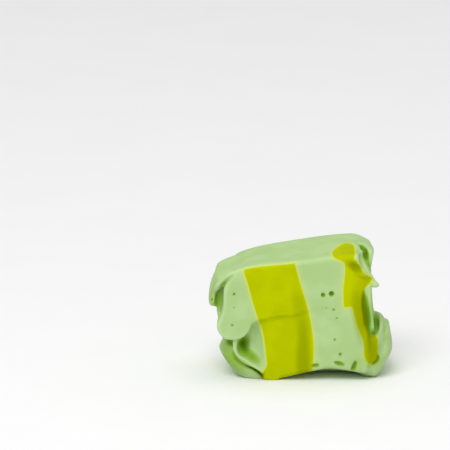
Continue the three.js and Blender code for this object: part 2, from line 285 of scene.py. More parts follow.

# Painted shade in recesses, folds and on sides turned from the light: egg shapes, with how dark it is in
# their middle
SHADES = [
    ({"at": (-8.2, -5.4, 5.2), "half": (1.2, 2.6, 1.9), "turn": (0, 10, 0)}, 0.9),
    ({"at": (-7.3, -5.8, 3.7), "half": (3.3, 2.4, 1.15), "turn": (0, 38, 0)}, 0.68),
    ({"at": (-10.0, -5.6, 5.3), "half": (0.95, 2.5, 0.6), "turn": (0, 12, 0)}, 0.75),
    ({"at": (-9.7, -5.5, 3.0), "half": (2.1, 4.0, 4.6), "turn": (0, -40, 0)}, 0.42),
    ({"at": (-11.5, -3.6, 11.1), "half": (1.1, 1.6, 3.0), "turn": (0, 0, 0)}, 0.38),
    ({"at": (-11.9, -3.6, 11.3), "half": (0.4, 1.8, 1.6), "turn": (0, 0, 0)}, 0.5),
    ({"at": (-12.6, -3.5, 12.0), "half": (1.6, 4.0, 4.0), "turn": (0, 0, 0)}, 0.28),
    ({"at": (-10.85, -5.3, 14.0), "half": (0.7, 2.6, 1.7), "turn": (0, 43, 0)}, 0.3),
    ({"at": (0.4, -7.2, 3.4), "half": (1.8, 3.0, 7.0), "turn": (0, 0, 0)}, 0.5),
    ({"at": (-0.1, -7.2, 10.4), "half": (1.8, 3.0, 6.5), "turn": (0, -10, 0)}, 0.3),
    ({"at": (7.8, -6.7, 16.6), "half": (1.8, 1.8, 0.95), "turn": (0, 35, 0)}, 0.58),
    ({"at": (8.6, -6.8, 15.3), "half": (1.7, 1.8, 0.4), "turn": (0, 25, 0)}, 0.35),
    ({"at": (8.3, -6.9, 9.8), "half": (1.7, 3.0, 6.5), "turn": (0, -8, 0)}, 0.42),
    ({"at": (9.55, -6.9, 8.6), "half": (0.55, 3.0, 5.2), "turn": (0, -5, 0)}, 0.8),
    ({"at": (10.2, -6.7, 4.6), "half": (1.6, 3.0, 3.6), "turn": (0, 0, 0)}, 0.62),
    ({"at": (10.4, -6.5, 7.0), "half": (0.8, 2.0, 1.0), "turn": (0, 0, 0)}, 0.65),
    ({"at": (6.9, -4.0, 18.3), "half": (2.4, 6.0, 2.6), "turn": (0, 0, 0)}, 0.15),
    ({"at": (12.2, -5.0, 5.5), "half": (1.5, 5.0, 5.0), "turn": (0, 0, 0)}, 0.08),
    ({"at": (11.95, -5.0, 6.4), "half": (0.5, 4.0, 2.6), "turn": (0, 0, 0)}, 0.25),
    ({"at": (10.85, -1.5, 8.0), "half": (0.8, 6.0, 2.6), "turn": (0, 0, 0)}, 0.5),
    ({"at": (10.85, -1.0, 8.5), "half": (0.65, 4.5, 1.7), "turn": (0, 0, 0)}, 0.15),
    ({"at": (10.75, -5.4, 7.3), "half": (0.6, 2.4, 0.9), "turn": (0, 0, 0)}, 0.5),
    ({"at": (9.2, -3.8, 17.8), "half": (0.55, 1.6, 1.0), "turn": (0, -30, 0)}, 0.7),
    ({"at": (8.3, -7.2, 2.6), "half": (2.2, 2.0, 2.2), "turn": (0, 0, 0)}, 0.22),
    ({"at": (10.1, -6.5, 10.5), "half": (0.6, 1.5, 4.5), "turn": (0, 0, 0)}, 0.3),
    ({"at": (9.5, -4.4, 16.6), "half": (0.7, 1.6, 1.6), "turn": (0, -20, 0)}, 0.3),
    ({"at": (8.5, -5.2, 17.2), "half": (0.9, 2.4, 2.2), "turn": (0, -20, 0)}, 0.25),
]

# Outlines of the yellow layers in x and z, in runs that meet at corners, and the spacing of points there
LEFT_LAYER = [
    [(1.2, -1), (1.8, 2.4), (1.9, 5.6), (1.5, 8.8), (0.9, 11.4), (-0.1, 14.8), (-0.9, 18.0), (-1.2, 20)],
    [(-9, 20), (-8.3, 16.8), (-7.6, 14.6), (-6.8, 11.6), (-5.9, 8.7), (-5.4, 7.2), (-5.15, 5.6),
     (-4.95, 3.9), (-4.85, 2.2), (-5.4, 1.4), (-5.5, 0.4), (-5.0, -1)],
]
RIGHT_LAYER = [
    [(6.16, 10.85), (7.2, 11.0)],
    [(7.35, 10.75), (7.67, 9.45), (8.04, 8.2), (8.5, 7.05), (8.87, 5.9), (9.0, 4.7), (8.96, 4.05),
     (9.24, 3.25), (9.7, 2.7), (10.15, 2.5), (10.8, 2.9), (11.05, 3.2), (10.95, 4.2), (10.95, 5.4),
     (10.95, 6.1), (10.6, 6.5), (10.15, 6.6), (9.85, 6.9), (9.6, 7.5), (9.5, 8.4), (9.35, 9.8),
     (9.15, 11.4), (9.05, 12.8), (9.05, 13.4), (9.3, 13.8), (9.5, 14.3)],
    [(9.5, 15.1), (9.3, 15.5), (8.9, 16.05), (8.6, 16.4), (8.4, 17.1), (7.9, 17.45), (7.6, 18.2), (7.5, 20)],
    [(6.3, 20), (6.2, 18), (6.25, 16.0), (6.0, 13.5), (6.1, 11.2)],
]
LAYER_SPACING = 0.2
LAYER_Y = (-9, 9)
LAYER_LEVELS = 19
# Its tip, which stays near the front
TIP = [
    (9.0, 13.5), (9.35, 13.8), (9.75, 14.1), (10.15, 14.6), (10.2, 14.9), (9.8, 15.2), (9.2, 15.6),
    (8.8, 14.6),
]
TIP_STEPS = 60
TIP_Y = (-9, -5.75)
# Where the right layer comes out through the skin at the front corner, seen from above and from the front
PATCH_PLAN = [
    (7.7, -4.8), (7.65, -1.8), (7.1, 0.1), (6.2, 0.4), (5.4, -1.0), (4.6, -3.6), (4.15, -6.2), (4.3, -9),
    (8.5, -9), (8.0, -6.6),
]
PATCH_FRONT = [
    (4.1, 20), (4.1, 18.9), (4.5, 18.3), (5.1, 17.9), (5.8, 17.65), (6.3, 17.2), (7.6, 16.4), (8.5, 16.6),
    (8.3, 17.4), (7.6, 18.0), (7.8, 18.8), (7.8, 20),
]
PATCH_STEPS = 80
PATCH_Z = (14, 21)
# The green over the layers' tops and under their feet: it is thin at the front's upper edge, and at its lower
# edge the layers run out through the base
SKIN = 0.55
FRONT_SKIN = 0.26
FRONT_SKIN_FADES = (-6.7, -5.4)
FOOT_DROP = 1.4
FOOT_FADES = (-6.6, -5.2)
# The sheets that bound the layers there: where they end, and how many points they have that way
SHEET_X = (-14, 14, 113)
SHEET_Y = (-9, 9, 37)
# How near a layer's shape and the body's surface a point of their border lies, how far from a border it still
# matters, and the angle from which an edge stays sharp
NEAR_LAYER = 0.002
NEAR_SURFACE = 0.03
BORDER_REACH = 2.0
SHARP_ANGLE = 55
# How far round a place it is seen how hollow the surface is there, for edges and for folds
HOLLOW_REACH = 0.5
WIDE_REACH = 1.1

# Colours as they show on a screen: the candy with its paler mottle, the painted highlight on its edges, the
# painted shade of its shallow and deep folds, and its borders with the other candy, with how far in
# millimetres a border and its faint tint reach
GREEN = {
    "main": (172, 202, 134),
    "light": (180, 209, 146),
    "rim": (203, 228, 172),
    "mid_shade": (136, 175, 60),
    "deep": (84, 130, 0),
    "border": (203, 216, 112),
    "border_reach": 0.3,
    "tint_reach": 1.0,
    "roughness": 0.5,
    "shine": 0.03,
}
YELLOW = {
    "main": (179, 190, 0),
    "light": (187, 199, 0),
    "rim": (189, 201, 0),
    "mid_shade": (150, 162, 0),
    "deep": (108, 122, 0),
    "border": (203, 216, 84),
    "border_reach": 0.14,
    "tint_reach": 0.2,
    "roughness": 0.5,
    "shine": 0.005,
}

# Where a material's values start and end to count, how strong they are then, and its noise in millimetres
MOTTLE = {"size": 3.2, "detail": 2.0}
MOTTLE_RANGE = (0.35, 0.7)
# The painted highlight along convex edges
EDGE_HIGHLIGHT_RANGE = (0.45, 0.3)
EDGE_HIGHLIGHT_STRENGTH = 0.42
TINT_STRENGTH = 0.35
BORDER_STRENGTH = 0.8
# The painted shade in hollows, and how the painted shade field runs to the mid and the deep colour
HOLLOW_SHADE_RANGE = (0.56, 0.9)
HOLLOW_SHADE_STRENGTH = 0.8
MID_SHADE_RANGE = (0.0, 0.6)
DEEP_SHADE_RANGE = (0.5, 1.0)
GLOSS = {"size": 0.9, "detail": 3.0, "offset": (4.0, 6.8, 1.2)}
GLOSS_CHANGE = 0.05
GRAIN = {"size": 0.45, "detail": 3.0, "offset": (9.0, 15.3, 2.7)}
GRAIN_STRENGTH = 0.25
GRAIN_HEIGHT = 0.06

# The camera: its place and aim in millimetres, its lens and film width, and how near it sees in metres
CAMERA_AT = (0, -1172, 290)
CAMERA_AIM = (-10.75, -2.33, 21.61)
CAMERA_LENS = 676
CAMERA_FILM = 36
CAMERA_NEAR = 0.01

# The floor: half its side in metres, and its two greys, which run into each other in large soft spots
FLOOR_HALF = 2
FLOOR_GREYS = ((0.92, 0.92, 0.92, 1), (0.95, 0.95, 0.95, 1))
FLOOR_SPOTS = {"size": 12.0, "detail": 2.0}
FLOOR_ROUGHNESS = 0.9

# The light all round, and the lamps: name, place, width and power, with sizes in metres
WORLD_LIGHT = 0.55
LIGHTS = [
    ("key", (-0.15, -0.45, 0.6), 0.5, 2.9),
    ("top", (0.1, 0.1, 0.7), 0.6, 0.8),
]


def spaced(points, count, closed):
    """Evenly spaced points along a centripetal Catmull-Rom curve through the points."""
    points = np.asarray(points, dtype=float)
    if closed:
        chain = np.vstack([points[-1:], points, points[:2]])
    else:
        chain = np.vstack([2 * points[:1] - points[1:2], points, 2 * points[-1:] - points[-2:-1]])
    pieces = []
    for p0, p1, p2, p3 in zip(chain, chain[1:], chain[2:], chain[3:]):
        t0 = 0.0
        t1 = t0 + np.linalg.norm(p1 - p0) ** 0.5
        t2 = t1 + np.linalg.norm(p2 - p1) ** 0.5
        t3 = t2 + np.linalg.norm(p3 - p2) ** 0.5
        t = np.linspace(t1, t2, CURVE_STEPS, endpoint=False)[:, None]
        a1 = (t1 - t) / (t1 - t0) * p0 + (t - t0) / (t1 - t0) * p1
        a2 = (t2 - t) / (t2 - t1) * p1 + (t - t1) / (t2 - t1) * p2
        a3 = (t3 - t) / (t3 - t2) * p2 + (t - t2) / (t3 - t2) * p3
        b1 = (t2 - t) / (t2 - t0) * a1 + (t - t0) / (t2 - t0) * a2
        b2 = (t3 - t) / (t3 - t1) * a2 + (t - t1) / (t3 - t1) * a3
        pieces.append((t2 - t) / (t2 - t1) * b1 + (t - t1) / (t2 - t1) * b2)
    fine = np.vstack(pieces + [points[:1] if closed else points[-1:]])
    along = np.concatenate([[0], np.cumsum(np.linalg.norm(np.diff(fine, axis=0), axis=1))])
    wanted = np.linspace(0, along[-1], count + 1)
    result = np.stack([np.interp(wanted, along, column) for column in fine.T], axis=1)
    return result[:-1] if closed else result


def profile(pairs, place):
    """Reads the smooth curve through (place, value) pairs. Outside the pairs it holds the end value."""
    places, values = np.array(pairs, dtype=float).T
    first = np.maximum(np.arange(len(places)) - 1, 0)
    last = np.minimum(np.arange(len(places)) + 1, len(places) - 1)
    slopes = (values[last] - values[first]) / (places[last] - places[first])
    place = np.clip(place, places[0], places[-1])
    i = np.clip(np.searchsorted(places, place, side="right") - 1, 0, len(places) - 2)
    span = (places[1:] - places[:-1])[i]
    t = (place - places[i]) / span
    rise = t * t * (3 - 2 * t)
    bend = t * (1 - t) * span * ((1 - t) * slopes[i] - t * slopes[i + 1])
    return (values[i] + (values[i + 1] - values[i]) * rise + bend).astype(np.float32)


def ramp(value, start, end):
    """0 before start, 1 after end, and a smooth rise between."""
    t = np.clip((value - start) / (end - start), 0, 1)
    return t * t * (3 - 2 * t)


def soft_min(a, b, softness):
    """The lesser of two distances, rounded where they meet."""
    near = np.maximum(softness - np.abs(a - b), 0) / softness
    return np.minimum(a, b) - near * near * softness / 4


def top_at(x, y):
    """How high the block's top is."""
    back = (y / HALF[Y] + 1) / 2
    left = BACK_LEFT_DROP * ramp(-x, 0, DROP_LENGTH)
    right = BACK_RIGHT_DROP * ramp(x, *RIGHT_DROP)
    return profile(TOP, x) - back * left - ramp(back, RIGHT_DROP_FROM, 1) * right


def base_at(x, y):
    """How high the arch under the block's front is."""
    return profile(ARCH, x) * (1 - ramp(y + HALF[Y], 0, ARCH_REACH))


class Body:
    """A solid as a field of distances to its surface on a grid, less than 0 inside."""

    def __init__(self):
        self.axes = [np.arange(a, b, VOXEL, dtype=np.float32) for a, b in zip(GRID_LOW, GRID_HIGH)]
        self.field = self.block(*np.meshgrid(*self.axes, indexing="ij", sparse=True))
        # How much painted shade each place gets: darker colour standing in for shade in folds and recesses
        self.depth = np.zeros(self.field.shape, dtype=np.float32)

    def block(self, x, y, z):
        """The block, worked out backwards: each place is unbent to where it is in a straight box."""
        z = z + BASE_TRIM
        seam = profile(SEAM_LINE, x)
        below = 1 - ramp(z, seam - SEAM["blend"], seam)
        step = SEAM["step"] * below * (1 - ramp(x, *SEAM["fades"]))
        step = step + FRONT_TURN * ramp(x, *TURN_FROM) ** 2 * profile(TURN_HEIGHTS, z)
        y = (y - step / 2) / (1 - step / (2 * HALF[Y]))
        back = np.clip((y / HALF[Y] + 1) / 2, 0, 1)
        low = base_at(x, y)
        up = (z - low) / (top_at(x, y) - low)
        swell = END_SWELL * np.sin(np.pi * back)
        left = profile(LEFT_END, up * 2 * HALF[Z]) - swell
        right = profile(RIGHT_END, up * 2 * HALF[Z]) + swell
        straight = ((2 * (x - left) / (right - left) - 1) * HALF[0], y, (2 * up - 1) * HALF[Z])
        beyond = [np.abs(p) - h + EDGE_RADIUS for p, h in zip(straight, HALF)]
        outside = np.sqrt(sum(np.maximum(b, 0) ** 2 for b in beyond))
        inside = np.minimum(np.maximum(np.maximum(beyond[0], beyond[1]), beyond[2]), 0)
        return (outside + inside - EDGE_RADIUS).astype(np.float32)

    def window(self, low, high, reach=REACH):
        """The part of the grid near a form: its slices and its coordinates."""
        cut = []
        for axis, a, b in zip(self.axes, low, high):
            cut.append(slice(*np.searchsorted(axis, (a - reach, b + reach))))
        return tuple(cut), np.meshgrid(*[a[s] for a, s in zip(self.axes, cut)], indexing="ij", sparse=True)

    def add(self, form, softness):
        """Joins a form to the body, rounded where they meet."""
        low, high, distance = form
        cut, (x, y, z) = self.window(low, high)
        self.field[cut] = soft_min(self.field[cut], distance(x, y, z + BASE_TRIM), softness)

    def cut(self, form, softness):
        """Takes a form out of the body, rounded where they meet."""
        low, high, distance = form
        cut, (x, y, z) = self.window(low, high)
        self.field[cut] = -soft_min(-self.field[cut], distance(x, y, z + BASE_TRIM), softness)

    def paint_shade(self, near, cut):
        """Paints shade into a part of the grid, darkening the colour on top of the painted shade already
        there.
        """
        self.depth[cut] = 1 - (1 - self.depth[cut]) * (1 - near)

    def fold(self, form, softness, strength, fade=FOLD_SHADE_FADE):
        """Cuts a fold and paints shade in it, fading out to a distance round it."""
        self.cut(form, softness)
        low, high, distance = form
        cut, (x, y, z) = self.window(low, high)
        self.paint_shade(strength * (1 - ramp(distance(x, y, z + BASE_TRIM), 0, fade)), cut)

    def shade(self, at, half, turn, strength):
        """Paints shade in the middle of an egg shape, fading out to its skin."""
        reach = max(half)
        cut, (x, y, z) = self.window([a - reach for a in at], [a + reach for a in at])
        size, _ = egg_size(at, half, turn, x, y, z + BASE_TRIM)
        self.paint_shade(strength * (1 - ramp(size, SHADE_CORE, 1)), cut)

    def sample(self, values, places):
        """Reads values of the grid at any places."""
        at = (places - [a[0] for a in self.axes]) / VOXEL
        base = np.clip(np.floor(at).astype(int), 0, np.array(values.shape) - 2)
        share = at - base
        total = 0
        for corner in np.ndindex(2, 2, 2):
            weight = np.prod(np.where(corner, share, 1 - share), axis=1)
            i, j, k = (base + corner).T
            total = total + weight * values[i, j, k]
        return total


def outline_distance(edge, x, z):
    """Distances in the x and z plane to a closed outline, less than 0 inside."""
    least = np.full(np.broadcast(x, z).shape, np.inf)
    inside = np.zeros(least.shape, dtype=bool)
    for (ax, az), (bx, bz) in zip(edge, np.roll(edge, -1, axis=0)):
        wx, wz = bx - ax, bz - az
        share = np.clip(((x - ax) * wx + (z - az) * wz) / (wx * wx + wz * wz), 0, 1)
        least = np.minimum(least, (x - ax - share * wx) ** 2 + (z - az - share * wz) ** 2)
        if az != bz:
            inside ^= ((az > z) != (bz > z)) & (x < ax + (z - az) * wx / wz)
    return np.where(inside, -1, 1) * np.sqrt(least)


def plate(outline, y, rounding):
    """A flat form with an outline in x and z, as thick as y says, with its edges rounded."""
    edge = spaced(outline, OUTLINE_STEPS, closed=True)

    def distance(px, py, pz):
        flat = outline_distance(edge, px[:, 0, 0][:, None], pz[0, 0][None, :])[:, None, :] + rounding
        deep = np.abs(py - sum(y) / 2) - (y[1] - y[0]) / 2 + rounding
        outside = np.hypot(np.maximum(flat, 0), np.maximum(deep, 0))
        return (outside + np.minimum(np.maximum(flat, deep), 0) - rounding).astype(np.float32)

    low = (edge[:, 0].min(), y[0], edge[:, 1].min())
    high = (edge[:, 0].max(), y[1], edge[:, 1].max())
    return low, high, distance


def cushion(outline, y, squareness):
    """A rounded form with an outline in x and z, as deep as y says."""
    edge = spaced(outline, OUTLINE_STEPS, closed=True)
    middle = edge.mean(axis=0)
    spokes = edge - middle
    angles = np.arctan2(spokes[:, 1], spokes[:, 0])
    order = np.argsort(angles)
    lengths = np.hypot(*spokes[order].T)
    half_depth = (y[1] - y[0]) / 2

    def distance(px, py, pz):
        out_x = px - middle[0]
        out_z = pz - middle[1]
        radius = np.interp(np.arctan2(out_z, out_x), angles[order], lengths, period=2 * np.pi)
        share = np.maximum(np.hypot(out_x, out_z) / radius, TINY)
        slope_x = np.gradient(share, VOXEL, axis=0)
        slope_z = np.gradient(share, VOXEL, axis=2)
        steepness = np.maximum(np.hypot(slope_x, slope_z), TINY)
        depth = np.abs(py - sum(y) / 2) / half_depth
        size = (share ** squareness + depth ** squareness) ** (1 / squareness)
        power = squareness - 1
        slope = np.hypot((share / size) ** power * steepness, (depth / size) ** power / half_depth)
        return ((size - 1) / slope).astype(np.float32)

    low = (edge[:, 0].min(), y[0], edge[:, 1].min())
    high = (edge[:, 0].max(), y[1], edge[:, 1].max())
    return low, high, distance


def egg_size(at, half, turn, x, y, z):
    """How far out places are in an egg shape, 1 at its skin, and how fast that grows with distance."""
    turned = np.array(Euler([math.radians(a) for a in turn], "ZYX").to_matrix())
    out = (x - at[0], y - at[1], z - at[2])
    own = [sum(turned[i, j] * out[i] for i in range(3)) / half[j] for j in range(3)]
    size = np.maximum(np.sqrt(sum(p * p for p in own)), TINY)
    growth = np.sqrt(sum((p / h) ** 2 for p, h in zip(own, half))) / size
    return size, np.maximum(growth, TINY)


def egg(at, half, turn):
    """An egg shape with half sizes along X, Y and Z, turned by degrees about them."""

    def distance(px, py, pz):
        size, growth = egg_size(at, half, turn, px, py, pz)
        return ((size - 1) / growth).astype(np.float32)

    reach = max(half)
    return [a - reach for a in at], [a + reach for a in at], distance


def strand(path, radii):
    """A round strand along a smooth curve, whose radius changes evenly from the first to the last."""
    points = spaced(path, STRAND_STEPS, closed=False)
    sizes = np.interp(np.linspace(0, 1, len(points)), np.linspace(0, 1, len(radii)), radii)

    def distance(px, py, pz):
        least = None
        for a, b, start, end in zip(points, points[1:], sizes, sizes[1:]):
            way = b - a
            out = (px - a[0], py - a[1], pz - a[2])
            share = np.clip(sum(o * w for o, w in zip(out, way)) / (way @ way), 0, 1)
            gap = np.sqrt(sum((o - share * w) ** 2 for o, w in zip(out, way)))
            gap = gap - (start + share * (end - start))
            least = gap if least is None else np.minimum(least, gap)
        return least.astype(np.float32)

    return points.min(axis=0) - max(radii), points.max(axis=0) + max(radii), distance


def blurred(values, radius):
    """The values averaged over about a radius in millimetres, by three runs of a box filter."""
    width = max(1, round(radius / VOXEL))
    for _ in range(3):
        for axis in range(3):
            padding = [(0, 0)] * 3
            padding[axis] = (width + 1, width)
            total = np.cumsum(np.pad(values, padding, mode="edge"), axis=axis, dtype=np.float64)
            size = total.shape[axis]
            upper = np.take(total, range(2 * width + 1, size), axis=axis)
            lower = np.take(total, range(0, size - 2 * width - 1), axis=axis)
            values = ((upper - lower) / (2 * width + 1)).astype(np.float32)
    return values


def add_left_end(body):
    """The foot, its dish and the crescent, and over them the flap, the tongue and the rim between the two."""
    body.cut(plate(**LOWER_CORNER), softness=0.4)
    body.add(plate(**FOOT), softness=0.2)
    body.cut(cushion(**DISH), softness=0.3)
    body.cut(egg(**DISH_CORE), softness=0.6)
    body.add(strand(**DISH_RIM), softness=0.25)
    body.add(cushion(**CRESCENT), softness=0.1)
    # The folds cut here also get painted shade
    body.fold(strand(**RIM_SLIT), softness=0.1, strength=0.6)
    body.fold(plate(**SLIT), softness=0.1, strength=0.85)
    body.add(cushion(**FLAP), softness=0.5)
    body.add(egg(**FLAP_BACK), softness=1.1)
    body.cut(plate(**SLOT), softness=0.6)
    body.add(plate(**TONGUE), softness=0.2)
    body.add(strand(**HOOD_FILL), softness=0.3)
    body.add(strand(**HOOD_RIM), softness=0.25)
    body.fold(strand(**HOOD_GROOVE), softness=0.15, strength=0.3)


def add_right_end(body):
    """The lobe and the gap over it, then the cut corner with its lips and folds, the spike and the blade."""
    body.add(cushion(**LOBE), softness=0.3)
    body.cut(egg(**LOBE_VALLEY), softness=0.6)
    # The folds cut here also get painted shade
    body.fold(cushion(**GAP), softness=0.15, strength=0.2)
    body.cut(egg(**CORNER_CUT), softness=0.5)
    body.add(strand(**BACK_LIP), softness=0.3)
    body.cut(egg(**CORNER_HOLLOW), softness=0.6)
    body.add(strand(**RIDGE), softness=0.3)
    body.fold(strand(**CREASE), softness=0.2, strength=0.85)
    body.add(egg(**SPIKE), softness=0.5)
    body.add(strand(**BLADE), softness=0.2)
    body.fold(strand(**BLADE_CREASE), softness=0.2, strength=0.85)
    body.fold(strand(**TIP_CREASE), softness=0.1, strength=0.7)


def add_bubbles(body):
    # Bubbles and dimples are cut in, with painted shade in them
    for x, z, radius in PITS:
        pit = egg((x, -HALF[Y], z), (radius, radius * PIT_DEPTH, radius), (0, 0, 0))
        strength = min(PIT_STRENGTH * radius, DARKEST_PIT)
        body.fold(pit, softness=0.06, strength=strength, fade=0.1)
    for dimple in DIMPLES:
        body.fold(egg(**dimple), softness=0.12, strength=0.7, fade=0.15)


def taffy_body():
    """The whole piece, trimmed flat where it rests."""
    body = Body()
    add_left_end(body)
    add_right_end(body)
    add_bubbles(body)
    # Painted shade from the egg shapes
    for form, strength in SHADES:
        body.shade(**form, strength=strength)
    height = body.axes[Z][None, None, :]
    body.field = np.maximum(body.field, -height)
    return body


def mesh_object(name, points, faces):
    mesh = bpy.data.meshes.new(name)
    mesh.from_pydata(points.tolist(), [], [tuple(map(int, face)) for face in faces])
    mesh.update()
    piece = bpy.data.objects.new(name, mesh)
    bpy.context.scene.collection.objects.link(piece)
    return piece


def surface_of(body):
    """The body's surface as a mesh."""
    grid = openvdb.FloatGrid(background=BAND * VOXEL)
    grid.copyFromArray(np.clip(body.field, -BAND * VOXEL, BAND * VOXEL))
    points, quads = grid.convertToQuads(isovalue=0.0)
    return mesh_object("whole", points * VOXEL + [a[0] for a in body.axes], quads)


def between_skins():
    """What lies under the skin of the top and over that of the base: a box between two bent sheets."""
    xs = np.linspace(*SHEET_X)
    ys = np.linspace(*SHEET_Y)
    inside = np.clip(ys, -HALF[Y], HALF[Y])

    def lower(x):
        return base_at(x, inside) + SKIN - FOOT_DROP * (1 - ramp(ys, *FOOT_FADES))

    def upper(x):
        return top_at(x, inside) - FRONT_SKIN - (SKIN - FRONT_SKIN) * ramp(ys, *FRONT_SKIN_FADES)

    points = []
    for height in (lower, upper):
        for x in xs:
            spot = np.full(len(ys), x)
            points.append(np.stack([spot, ys, height(spot) - BASE_TRIM], axis=1))
    row = len(ys)
    sheet = row * len(xs)
    faces = []
    for i in range(len(xs) - 1):
        for j in range(row - 1):
            a, b, c, d = i * row + j, (i + 1) * row + j, (i + 1) * row + j + 1, i * row + j + 1
            faces.append((a, d, c, b))
            faces.append(tuple(sheet + k for k in (a, b, c, d)))
    rim = [i * row for i in range(len(xs))]
    rim += [(len(xs) - 1) * row + j for j in range(1, row)]
    rim += [i * row + row - 1 for i in range(len(xs) - 2, -1, -1)]
    rim += list(range(row - 2, 0, -1))
    for a, b in zip(rim, rim[1:] + rim[:1]):
        faces.append((a, b, sheet + b, sheet + a))
    return mesh_object("between", np.vstack(points), faces)


def length_of(run):
    return sum(math.dist(a, b) for a, b in zip(run, run[1:]))


def ring_of(outline):
    """A closed ring of points through runs that meet at corners."""
    steps = [max(2, round(length_of(run) / LAYER_SPACING)) for run in outline]
    return np.vstack([spaced(run, count, closed=False) for run, count in zip(outline, steps)])


def prism(name, ring, axis, reach, levels=2):
    """A ring of points carried along an axis: Y for one in x and z, Z for one in x and y."""
    across = [0, Z] if axis == Y else [0, Y]
    points = []
    for at in np.linspace(*reach, levels):
        level = np.empty((len(ring), 3))
        level[:, across] = ring
        level[:, axis] = at
        points.append(level - [0, 0, BASE_TRIM])
    count = len(ring)
    faces = [tuple(range(count)), tuple(range(levels * count - 1, (levels - 1) * count - 1, -1))]
    for k in range(levels - 1):
        for i in range(count):
            j = (i + 1) % count
            faces.append((k * count + j, k * count + i, (k + 1) * count + i, (k + 1) * count + j))
    if axis == Z:
        faces = [face[::-1] for face in faces]
    return mesh_object(name, np.vstack(points), faces)


def combined(name, piece, *steps):
    """A new piece: the first one after boolean steps, which are (operation, other piece)."""
    made = bpy.data.objects.new(name, piece.data.copy())
    bpy.context.scene.collection.objects.link(made)
    for operation, other in steps:
        boolean = made.modifiers.new("boolean", "BOOLEAN")
        boolean.operation = operation
        boolean.solver = "MANIFOLD"
        boolean.object = other
    ready = made.evaluated_get(bpy.context.evaluated_depsgraph_get())
    made.data = bpy.data.meshes.new_from_object(ready)
    made.modifiers.clear()
    return made


def forget(*pieces):
    for piece in pieces:
        mesh = piece.data
        bpy.data.objects.remove(piece)
        bpy.data.meshes.remove(mesh)


def layer_shapes():
    """The shapes of the left and the right layer, which run out of the body at the front and the back."""
    room = between_skins()
    left_prism = prism("left_prism", ring_of(LEFT_LAYER), Y, LAYER_Y, LAYER_LEVELS)
    right_prism = prism("right_prism", ring_of(RIGHT_LAYER), Y, LAYER_Y, LAYER_LEVELS)
    patch_plan = prism("patch_plan", spaced(PATCH_PLAN, PATCH_STEPS, closed=True), Z, PATCH_Z)
    patch_front = prism("patch_front", spaced(PATCH_FRONT, PATCH_STEPS, closed=True), Y, LAYER_Y)
    patch = combined("patch", patch_plan, ("INTERSECT", patch_front))
    tip = prism("tip", spaced(TIP, TIP_STEPS, closed=True), Y, TIP_Y)
    left = combined("left_shape", left_prism, ("INTERSECT", room))
    right = combined("right_shape", right_prism, ("INTERSECT", room), ("UNION", patch), ("UNION", tip))
    forget(room, left_prism, right_prism, patch_plan, patch_front, patch, tip)
    return left, right


def taffy_pieces(body):
    """The green piece and the two yellow ones, with what their materials need at each point."""
    whole = surface_of(body)
    left_shape, right_shape = layer_shapes()
    green = combined("green_body", whole, ("DIFFERENCE", left_shape), ("DIFFERENCE", right_shape))
    left = combined("yellow_left", whole, ("INTERSECT", left_shape))
    right = combined("yellow_right", whole, ("INTERSECT", right_shape))
    border = border_tree(body, (left, left_shape), (right, right_shape))
    filled = np.clip(0.5 - body.field / VOXEL, 0, 1)
    hollow = blurred(filled, HOLLOW_REACH)
    wide_hollow = blurred(filled, WIDE_REACH)
    for piece in (green, left, right):
        mesh = piece.data
        places = places_of(mesh)
        write_attribute(mesh, "border", [min(border.find(p)[2], BORDER_REACH) for p in places])
        # How hollow each place is, for the painted highlight on edges and the painted shade in hollows, and
        # how much painted shade it gets
        write_attribute(mesh, "hollow", body.sample(hollow, places))
        write_attribute(mesh, "wide_hollow", body.sample(wide_hollow, places))
        write_attribute(mesh, "depth", body.sample(body.depth, places))
        mesh.vertices.foreach_set("co", (places * MM).ravel())
        mesh.shade_smooth()
        mesh.set_sharp_from_angle(angle=math.radians(SHARP_ANGLE))
        mesh.update()
    forget(whole, left_shape, right_shape)
    return green, left, right


def places_of(mesh):
    places = np.empty(len(mesh.vertices) * 3, dtype=np.float32)
    mesh.vertices.foreach_get("co", places)
    return places.reshape(-1, 3)


def border_tree(body, *layers):
    """Points along the borders that show: on the skin of the body and on that of a layer's shape."""
    found = []
    for piece, shape in layers:
        places = places_of(piece.data)
        places = places[np.abs(body.sample(body.field, places)) < NEAR_SURFACE]
        skin = BVHTree.FromObject(shape, bpy.context.evaluated_depsgraph_get())
        found += [p for p in places if skin.find_nearest(Vector(p))[3] < NEAR_LAYER]
    tree = KDTree(len(found))
    for i, place in enumerate(found):
        tree.insert(place, i)
    tree.balance()
    return tree


def write_attribute(mesh, name, values):
    attribute = mesh.attributes.new(name, "FLOAT", "POINT")
    attribute.data.foreach_set("value", np.asarray(values, dtype=np.float32))


def linear(colour):
    """A colour given as it shows on a screen, as the shader wants it."""
    shares = [value / 255 for value in colour]
    return tuple(s / 12.92 if s <= 0.04045 else ((s + 0.055) / 1.055) ** 2.4 for s in shares) + (1,)


